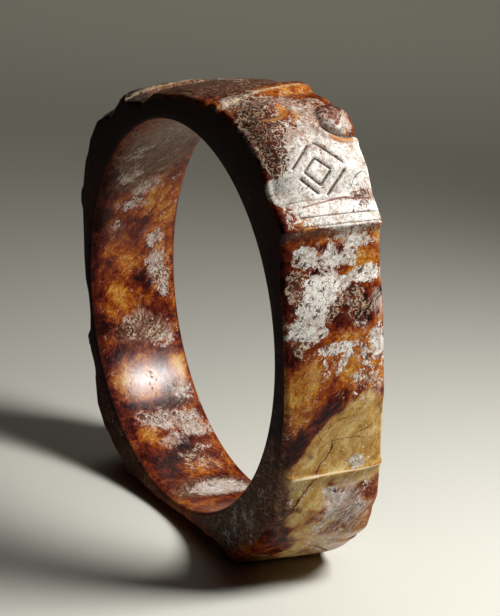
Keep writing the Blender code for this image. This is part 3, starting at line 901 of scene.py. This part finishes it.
def jadeMaterial():
    jade = bpy.data.materials.new("weatheredRedBrownJade")
    jade.use_nodes = True
    tree = jade.node_tree
    shader = tree.nodes["Principled BSDF"]
    shader.location = (2400, 0)
    tree.nodes["Material Output"].location = (2750, 0)
    spot = {"x": -2400, "y": 900}

    def node(kind, **settings):
        made = tree.nodes.new(kind)
        made.location = (spot["x"], spot["y"])
        spot["y"] -= 220
        if spot["y"] < -1400:
            spot["y"], spot["x"] = 900, spot["x"] + 220
        for name, value in settings.items():
            setattr(made, name, value)
        return made

    def plug(value, socket):
        if isinstance(value, (int, float)):
            socket.default_value = value
        elif isinstance(value, tuple):
            socket.default_value = (*value, 1.0) if len(socket.default_value) == 4 else value
        else:
            tree.links.new(value, socket)

    def maths(operation, a, b=0.0, c=0.0):
        made = node("ShaderNodeMath", operation=operation)
        for socket, value in zip(made.inputs, (a, b, c)):
            plug(value, socket)
        return made.outputs[0]

    def times(a, b):
        return maths("MULTIPLY", a, b)

    def field(name):
        return node("ShaderNodeAttribute", attribute_name=name).outputs["Fac"]

    def between(value, low, high, start=0.0, end=1.0):
        made = node("ShaderNodeMapRange", interpolation_type="SMOOTHSTEP")
        names = ("Value", "From Min", "From Max", "To Min", "To Max")
        for name, number in zip(names, (value, low, high, start, end)):
            plug(number, made.inputs[name])
        return made.outputs[0]

    def mixColour(share, first, second):
        made = node("ShaderNodeMix", data_type="RGBA")
        plug(share, made.inputs[0])
        plug(first, made.inputs[6])
        plug(second, made.inputs[7])
        return made.outputs[2]

    def noiseField(vector, scale, detail=4.0, roughness=0.55, distortion=0.0, output="Fac"):
        made = node("ShaderNodeTexNoise")
        plug(vector, made.inputs["Vector"])
        names = ("Scale", "Detail", "Roughness", "Distortion")
        for name, value in zip(names, (scale, detail, roughness, distortion)):
            made.inputs[name].default_value = value
        return made.outputs[output]

    def swing(value, amount):
        # noise about zero: -amount/2 to +amount/2
        return maths("MULTIPLY_ADD", value, amount, -amount / 2)

    def add(*values):
        total = values[0]
        for value in values[1:]:
            total = maths("ADD", total, value)
        return total

    def ramp(value, *stops):
        made = node("ShaderNodeValToRGB")
        plug(value, made.inputs[0])
        while len(made.color_ramp.elements) < len(stops):
            made.color_ramp.elements.new(0.5)
        for element, (place, colour) in zip(made.color_ramp.elements, stops):
            element.position = place
            element.color = (*stone[colour], 1.0)
        return made.outputs[0]

    def mapping(vector, scale=(1.0, 1.0, 1.0), turn=(0.0, 0.0, 0.0)):
        made = node("ShaderNodeMapping", vector_type="POINT")
        tree.links.new(vector, made.inputs["Vector"])
        made.inputs["Scale"].default_value = scale
        made.inputs["Rotation"].default_value = turn
        return made.outputs[0]

    def veinOf(value, thin, wide):
        # 1 on the middle contour of a noise field, 0 away from it
        return between(maths("ABSOLUTE", maths("SUBTRACT", value, 0.5)), thin, wide, 1.0, 0.0)

    # places in millimetres; the same, gently bent; and squeezed along the beds of the stone
    inMm = mapping(node("ShaderNodeTexCoord").outputs["Object"], (1000.0, 1000.0, 1000.0))
    bend = node("ShaderNodeVectorMath", operation="MULTIPLY_ADD")
    tree.links.new(noiseField(inMm, 0.16, 2.0, 0.5, output="Color"), bend.inputs[0])
    bend.inputs[1].default_value = (4.5, 4.5, 4.5)
    tree.links.new(inMm, bend.inputs[2])
    turned = mapping(bend.outputs[0], turn=(math.radians(-stone["beddingLean"]), 0.0, 0.0))
    beds = mapping(turned, (0.62, 0.50, 1.0))
    strands = mapping(turned, (0.30, 0.15, 1.0))

    calcite, amber, olive, maroon = (field(k) for k in ("calcite", "amber", "olive", "maroon"))
    fibre, streak, worm = (field(k) for k in ("fibre", "streak", "worm"))
    angle, side, onSkin = (field(k) for k in ("angleRound", "sideAcross", "onSkin"))

    cloud = noiseField(beds, 0.40, 9.0, 0.66, 0.6)
    fine = noiseField(mapping(turned, (0.88, 0.78, 1.0)), 1.15, 6.0, 0.70, 0.35)
    grain = noiseField(inMm, 3.4, 4.0, 0.65)
    lace = noiseField(beds, 0.95, 8.0, 0.66, 0.5)
    torn = noiseField(beds, 0.42, 3.0, 0.55, 0.6)
    strand = noiseField(strands, 3.6, 7.0, 0.72, 0.5)

    # the red-brown body of the stone
    tone = add(swing(cloud, 1.40), swing(fine, 1.10), swing(grain, 0.55))
    tone = maths("MULTIPLY_ADD", amber, 0.25, tone)
    tone = maths("MULTIPLY_ADD", maroon, -0.34, tone)
    tone = maths("ADD", tone, 0.46)
    body = ramp(tone, (0.10, "maroonBlack"), (0.30, "darkRed"), (0.44, "redBrown"),
                (0.58, "rust"), (0.74, "amber"), (0.95, "ochre"))
    veins = veinOf(noiseField(beds, 0.75, 3.0, 0.6, 1.2), 0.006, 0.030)
    colour = mixColour(times(veins, 0.55), body, stone["darkRed"])

    # honey and olive patches
    oliveTone = add(swing(noiseField(beds, 0.55, 9.0, 0.66, 0.4), 1.3), swing(grain, 0.25), 0.5)
    oliveBody = ramp(oliveTone, (0.28, "oliveDark"), (0.46, "oliveMiddle"), (0.68, "oliveLight"))
    oliveEdge = add(maths("MULTIPLY_ADD", maroon, -0.9, olive), swing(cloud, 1.1), swing(fine, 0.5))
    oliveShare = between(oliveEdge, 0.22, 0.72)
    colour = mixColour(oliveShare, colour, oliveBody)
    rustSpots = between(noiseField(beds, 0.9, 7.0, 0.70, 0.4), 0.54, 0.66, 0.0, 0.62)
    colour = mixColour(times(rustSpots, oliveShare), colour, stone["rust"])
    rustNet = veinOf(noiseField(inMm, 0.62, 4.0, 0.6, 0.8), 0.004, 0.022)
    colour = mixColour(times(rustNet, times(oliveShare, 0.55)), colour, stone["redBrown"])

    # grey-brown fibres along the beds
    fibreTone = add(swing(strand, 1.5), swing(grain, 0.3), 0.48)
    fibreBody = ramp(fibreTone, (0.28, "fibreDark"), (0.50, "fibreMiddle"), (0.76, "fibreLight"))
    fibreShare = between(add(fibre, swing(fine, 1.2), swing(cloud, 0.8)), 0.35, 0.95, 0.0, 0.88)
    colour = mixColour(fibreShare, colour, fibreBody)

    # pale streaks along the beds
    streakEdge = add(streak, swing(strand, 1.6), swing(fine, 0.9), swing(lace, 0.7))
    streakShare = between(streakEdge, 0.45, 1.05, 0.0, 0.86)
    colour = mixColour(streakShare, colour, stone["streakLilac"])

    # white weathered patches with torn edges
    crumbs = noiseField(inMm, 2.0, 4.0, 0.62, 0.5)
    patch = add(maths("MULTIPLY_ADD", maroon, -0.8, calcite), swing(lace, 1.5), swing(torn, 1.4),
                swing(crumbs, 2.1), swing(grain, 0.6))
    hardPatch = between(patch, 0.42, 0.57)
    softPatch = between(patch, 0.25, 1.15, 0.0, 0.68)
    soften = times(field("inHole"), 0.45)
    patchShare = maths("MULTIPLY_ADD", soften, maths("SUBTRACT", softPatch, hardPatch), hardPatch)
    whiteTone = add(swing(noiseField(inMm, 0.8, 7.0, 0.66), 1.5), swing(grain, 0.5),
                    between(patch, 0.5, 1.5, 0.40, 0.56), between(angle, 27.0, 43.0, -0.13, 0.0))
    white = ramp(whiteTone, (0.20, "calciteTan"), (0.36, "calciteGrey"), (0.54, "calciteWhite"))
    white = mixColour(times(soften, 0.40), white, stone["calciteTan"])
    colour = mixColour(patchShare, colour, white)
    fleckNoise = noiseField(beds, 1.9, 4.0, 0.62, 0.4)
    fleck = times(between(fleckNoise, 0.585, 0.65), between(add(calcite, amber), 0.2, 0.9, 0.0, 0.55))
    colour = mixColour(fleck, colour, stone["fleckPink"])

    # dark specks in the white, large ones on the facet; dark threads; brown swirls on the brow
    small = between(noiseField(beds, 3.4, 3.0, 0.6, 0.4), 0.61, 0.66)
    large = between(noiseField(beds, 1.75, 3.0, 0.62, 0.5), 0.575, 0.615)
    speck = maths("MAXIMUM", times(small, 0.8), times(large, between(angle, 56.0, 60.0)))
    thread = veinOf(noiseField(inMm, 0.85, 2.5, 0.55, 1.6), 0.004, 0.020)
    brow = veinOf(noiseField(inMm, 0.55, 4.0, 0.62, 1.2), 0.010, 0.050)
    browShare = times(times(brow, patchShare), between(angle, 30.0, 42.0, 0.75, 0.18))
    colour = mixColour(browShare, colour, stone["browBrown"])
    stain = times(maths("MAXIMUM", speck, times(thread, 0.7)), patchShare)
    colour = mixColour(times(stain, 0.94), colour, stone["speckBrown"])

    # worm-like cream lines over dark stone
    wormEdge = between(add(worm, swing(torn, 1.7), swing(lace, 1.5), swing(crumbs, 0.8)), 0.25, 0.90)
    squiggle = noiseField(inMm, 1.0, 1.2, 0.5, 1.5)
    offLine = maths("ABSOLUTE", maths("SUBTRACT", squiggle, 0.5))
    offLine = maths("ADD", offLine, maths("MULTIPLY_ADD", wormEdge, 0.13, -0.156))
    gap = between(offLine, 0.000, 0.014)
    wormShare = times(gap, between(wormEdge, 0.0, 0.2))
    wormBase = mixColour(between(fine, 0.45, 0.66), stone["wormDark"], stone["redBrown"])
    lit = mixColour(times(between(wormEdge, 0.3, 0.8), 0.62), colour, stone["wormCream"])
    colour = mixColour(times(wormShare, 0.96), lit, wormBase)

    # painted shade: the near side face is darkened nearly black
    paintedShade = times(field("paintedNearShade"), between(strand, 0.42, 0.70, 0.90, 0.50))
    colour = mixColour(paintedShade, colour, stone["maroonBlack"])

    # what has settled in the cut lines, and the painted highlight on ridge and lip edges
    cut, edgeHighlight = field("cut"), field("edgeHighlight")
    cutShare = times(between(cut, 0.20, 0.75), between(grain, 0.30, 0.52, 0.45, 0.96))
    colour = mixColour(cutShare, colour, stone["grooveBrown"])
    highlightShare = times(between(edgeHighlight, 0.3, 0.9, 0.0, 0.6), between(fine, 0.40, 0.6))
    colour = mixColour(highlightShare, colour, stone["highlightCream"])

    # cracks, rust veins, honey lines, and a painted highlight along the edge of the second ridge
    shades = {"crack": "wormDark", "rust": "redBrown", "honey": "amber", "edge": "highlightCream"}
    waver = swing(noiseField(inMm, 1.6, 3.0, 0.6), 0.9)
    cracked = None
    for line in thinLines.values():
        alongRing = line["runs"] == "round"
        first, last = line["points"][0][0], line["points"][-1][0]
        low = min(p[1] for p in line["points"])
        high = max(p[1] for p in line["points"])
        spread = node("ShaderNodeMapRange", interpolation_type="LINEAR")
        along, across = (angle, side) if alongRing else (side, angle)
        for name, value in zip(("Value", "From Min", "From Max"), (along, first, last)):
            plug(value, spread.inputs[name])
        where = spread.outputs[0]
        bent = node("ShaderNodeFloatCurve")
        tree.links.new(where, bent.inputs["Value"])
        curve = bent.mapping.curves[0]
        for number, (p, v) in enumerate(line["points"]):
            x, y = (p - first) / (last - first), (v - low) / (high - low)
            if number in (0, len(line["points"]) - 1):
                curve.points[0 if number == 0 else -1].location = (x, y)
            else:
                curve.points.new(x, y)
        bent.mapping.update()
        wanted = maths("MULTIPLY_ADD", bent.outputs[0], high - low, low)
        scale = 1.0 if alongRing else stonePerDegree / mm
        away = times(maths("SUBTRACT", across, wanted), scale)
        shake = 0.15 if line["kind"] == "edge" else 0.6
        away = maths("ABSOLUTE", add(away, times(waver, shake)))
        drawn = between(away, line["halfWidth"] * 0.5, line["halfWidth"] * 1.5, 1.0, 0.0)
        inside = times(between(where, 0.0, 0.03), between(where, 0.97, 1.0, 1.0, 0.0))
        drawn = times(times(drawn, inside), onSkin)
        colour = mixColour(times(drawn, 0.9), colour, stone[shades[line["kind"]]])
        if line["kind"] == "crack":
            cracked = drawn if cracked is None else maths("MAXIMUM", cracked, drawn)
    tree.links.new(colour, shader.inputs["Base Color"])

    rough = between(patch, 0.45, 0.85, stone["polished"], stone["dull"])
    rough = add(rough, times(maths("MAXIMUM", stain, cutShare), 0.14), swing(fine, 0.22),
                times(wormEdge, 0.06), times(field("sideFace"), 0.45))
    tree.links.new(rough, shader.inputs["Roughness"])

    relief = add(times(stain, -0.6), times(times(lace, patchShare), 0.5),
                 times(wormShare, -0.5), times(fine, 0.25),
                 times(cracked, -0.9), times(grain, 0.12))
    bump = node("ShaderNodeBump")
    bump.inputs["Strength"].default_value = 0.45
    bump.inputs["Distance"].default_value = 0.14 * mm
    tree.links.new(relief, bump.inputs["Height"])
    tree.links.new(bump.outputs[0], shader.inputs["Normal"])

    shader.inputs["Subsurface Weight"].default_value = 0.05
    shader.inputs["Subsurface Radius"].default_value = (1.0, 0.35, 0.12)
    shader.inputs["Subsurface Scale"].default_value = 0.8 * mm
    shader.inputs["IOR"].default_value = 1.5
    shader.inputs["Specular IOR Level"].default_value = 0.14
    return jade


def stoneVolume(mesh):
    # comes out below zero if the faces point inwards
    whole = bmesh.new()
    whole.from_mesh(mesh)
    volume = whole.calc_volume(signed=True)
    whole.free()
    return volume


def makeBracelet():
    plan = sectionPlan()
    columns = ring["seenColumns"] + ring["otherColumns"]
    mesh = makeBlank(jadeMaterial(), columns, len(plan))
    print("turned blank:", len(mesh.vertices), "points,", columns, "columns,", len(plan), "rows")
    made = carveRing(mesh, plan)
    mesh.flip_normals()                            # the angles run against the blank's columns
    layStone(mesh, made)
    mesh.name = "carvedJadeRing"
    bracelet = bpy.data.objects.new("carvedJadeRing", mesh)
    bpy.context.scene.collection.objects.link(bracelet)
    stoneCm3 = round(stoneVolume(mesh) * 1e6, 2)
    print("carved ring:", len(mesh.polygons), "faces round", stoneCm3, "cm3 of stone")
    return bracelet


# floor, light and camera

studio = {
    "floorColour": (0.62, 0.615, 0.560),
    "keyPlace": (0.115, 0.141, 0.226),             # close by, right of the view and a little in front
    "keyAim": (0.044, 0.004, 0.0),                 # in front of the ring, so the floor darkens behind it
    "keySize": (0.085, 0.085),
    "keySpread": 84.0,
    "keyPower": 0.272,
    "keyColour": (1.0, 0.985, 0.955),
    "coreSize": (0.022, 0.022),                    # the softbox is brighter at its middle
    "corePower": 0.145,
    "backPlace": (-0.42, 0.26, 0.55),              # a weak light over the floor behind the ring
    "backAim": (-0.34, 0.20, 0.0),
    "backSize": (0.6, 0.3),
    "backSpread": 90.0,
    "backPower": 0.29,
    "backColour": (1.0, 0.95, 0.84),
    "worldColour": (0.30, 0.27, 0.23),
    "worldStrength": 0.008,
}

view = {                                           # fitted to the photo
    "place": (282.3 * mm, -157.7 * mm, 145.8 * mm),
    "towards": (-0.81835, 0.47232, -0.32743),
    "up": (-0.30331, 0.12898, 0.94412),
    "lens": 158.4,
    "sensor": 36.0,
}


def makeFloor():
    # one sheet: flat under the ring, and curving up far behind it
    rows, columns = 48, 24
    reach, bend = 1.6, 0.5
    points, faces = [], []
    for i in range(rows + 1):
        along = i / rows
        run = along * (reach + bend * math.pi / 2 + 0.8)
        if run < reach:
            back, up = run, 0.0
        elif run < reach + bend * math.pi / 2:
            swing = (run - reach) / bend
            back, up = reach + bend * math.sin(swing), bend * (1 - math.cos(swing))
        else:
            back, up = reach + bend, bend + run - reach - bend * math.pi / 2
        for j in range(columns + 1):
            points.append(((j / columns - 0.5) * 5.0, back, up))
    for i in range(rows):
        for j in range(columns):
            a = i * (columns + 1) + j
            faces.append((a, a + 1, a + columns + 2, a + columns + 1))
    mesh = bpy.data.meshes.new("floorSheet")
    mesh.from_pydata(points, [], faces)
    mesh.shade_smooth()
    forward = Vector(view["towards"])
    swing = math.atan2(-forward.x, forward.y)
    mesh.transform(Matrix.Rotation(swing, 4, "Z") @ Matrix.Translation((0.0, -0.9, -0.00002)))
    paper = bpy.data.materials.new("paleFloor")
    paper.use_nodes = True
    shader = paper.node_tree.nodes["Principled BSDF"]
    shader.inputs["Base Color"].default_value = (*studio["floorColour"], 1.0)
    shader.inputs["Roughness"].default_value = 0.6
    shader.inputs["Specular IOR Level"].default_value = 0.25
    mesh.materials.append(paper)
    floor = bpy.data.objects.new("floorSheet", mesh)
    bpy.context.scene.collection.objects.link(floor)


def addSoftbox(name, place, aim, size, power, spread, colour):
    data = bpy.data.lights.new(name, "AREA")
    data.shape = "RECTANGLE"
    data.size, data.size_y = size
    data.energy = power
    data.color = colour
    data.spread = math.radians(spread)
    lamp = bpy.data.objects.new(name, data)
    away = Vector(place) - Vector(aim)
    lamp.location = place
    lamp.rotation_euler = away.to_track_quat("Z", "Y").to_euler()
    bpy.context.scene.collection.objects.link(lamp)
    return lamp


def makeLights():
    addSoftbox("keySoftbox", studio["keyPlace"], studio["keyAim"], studio["keySize"],
               studio["keyPower"], studio["keySpread"], studio["keyColour"])
    core = addSoftbox("keyCore", studio["keyPlace"], studio["keyAim"], studio["coreSize"],
                      studio["corePower"], studio["keySpread"], studio["keyColour"])
    core.visible_diffuse = False                   # it only sharpens the reflections
    addSoftbox("backSoftbox", studio["backPlace"], studio["backAim"], studio["backSize"],
               studio["backPower"], studio["backSpread"], studio["backColour"])
    world = bpy.data.worlds.new("studioAir")
    world.use_nodes = True
    sky = world.node_tree.nodes["Background"]
    sky.inputs["Color"].default_value = (*studio["worldColour"], 1.0)
    sky.inputs["Strength"].default_value = studio["worldStrength"]
    bpy.context.scene.world = world


def makeCamera():
    data = bpy.data.cameras.new("photoView")
    data.sensor_fit = "HORIZONTAL"
    data.sensor_width = view["sensor"]
    data.lens = view["lens"]
    data.clip_start = 0.01
    camera = bpy.data.objects.new("photoView", data)
    back = -Vector(view["towards"]).normalized()
    up = Vector(view["up"])
    right = up.cross(back).normalized()
    up = back.cross(right)
    turn = Matrix((right, up, back)).transposed().to_4x4()
    camera.matrix_world = Matrix.Translation(view["place"]) @ turn
    bpy.context.scene.collection.objects.link(camera)
    bpy.context.scene.camera = camera


bracelet = makeBracelet()
makeFloor()
makeLights()
makeCamera()
print("floor, lights and camera are set")

scene = bpy.context.scene
scene.view_settings.view_transform = "Standard"

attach(bracelet, "root")
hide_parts("jade_bracelet")
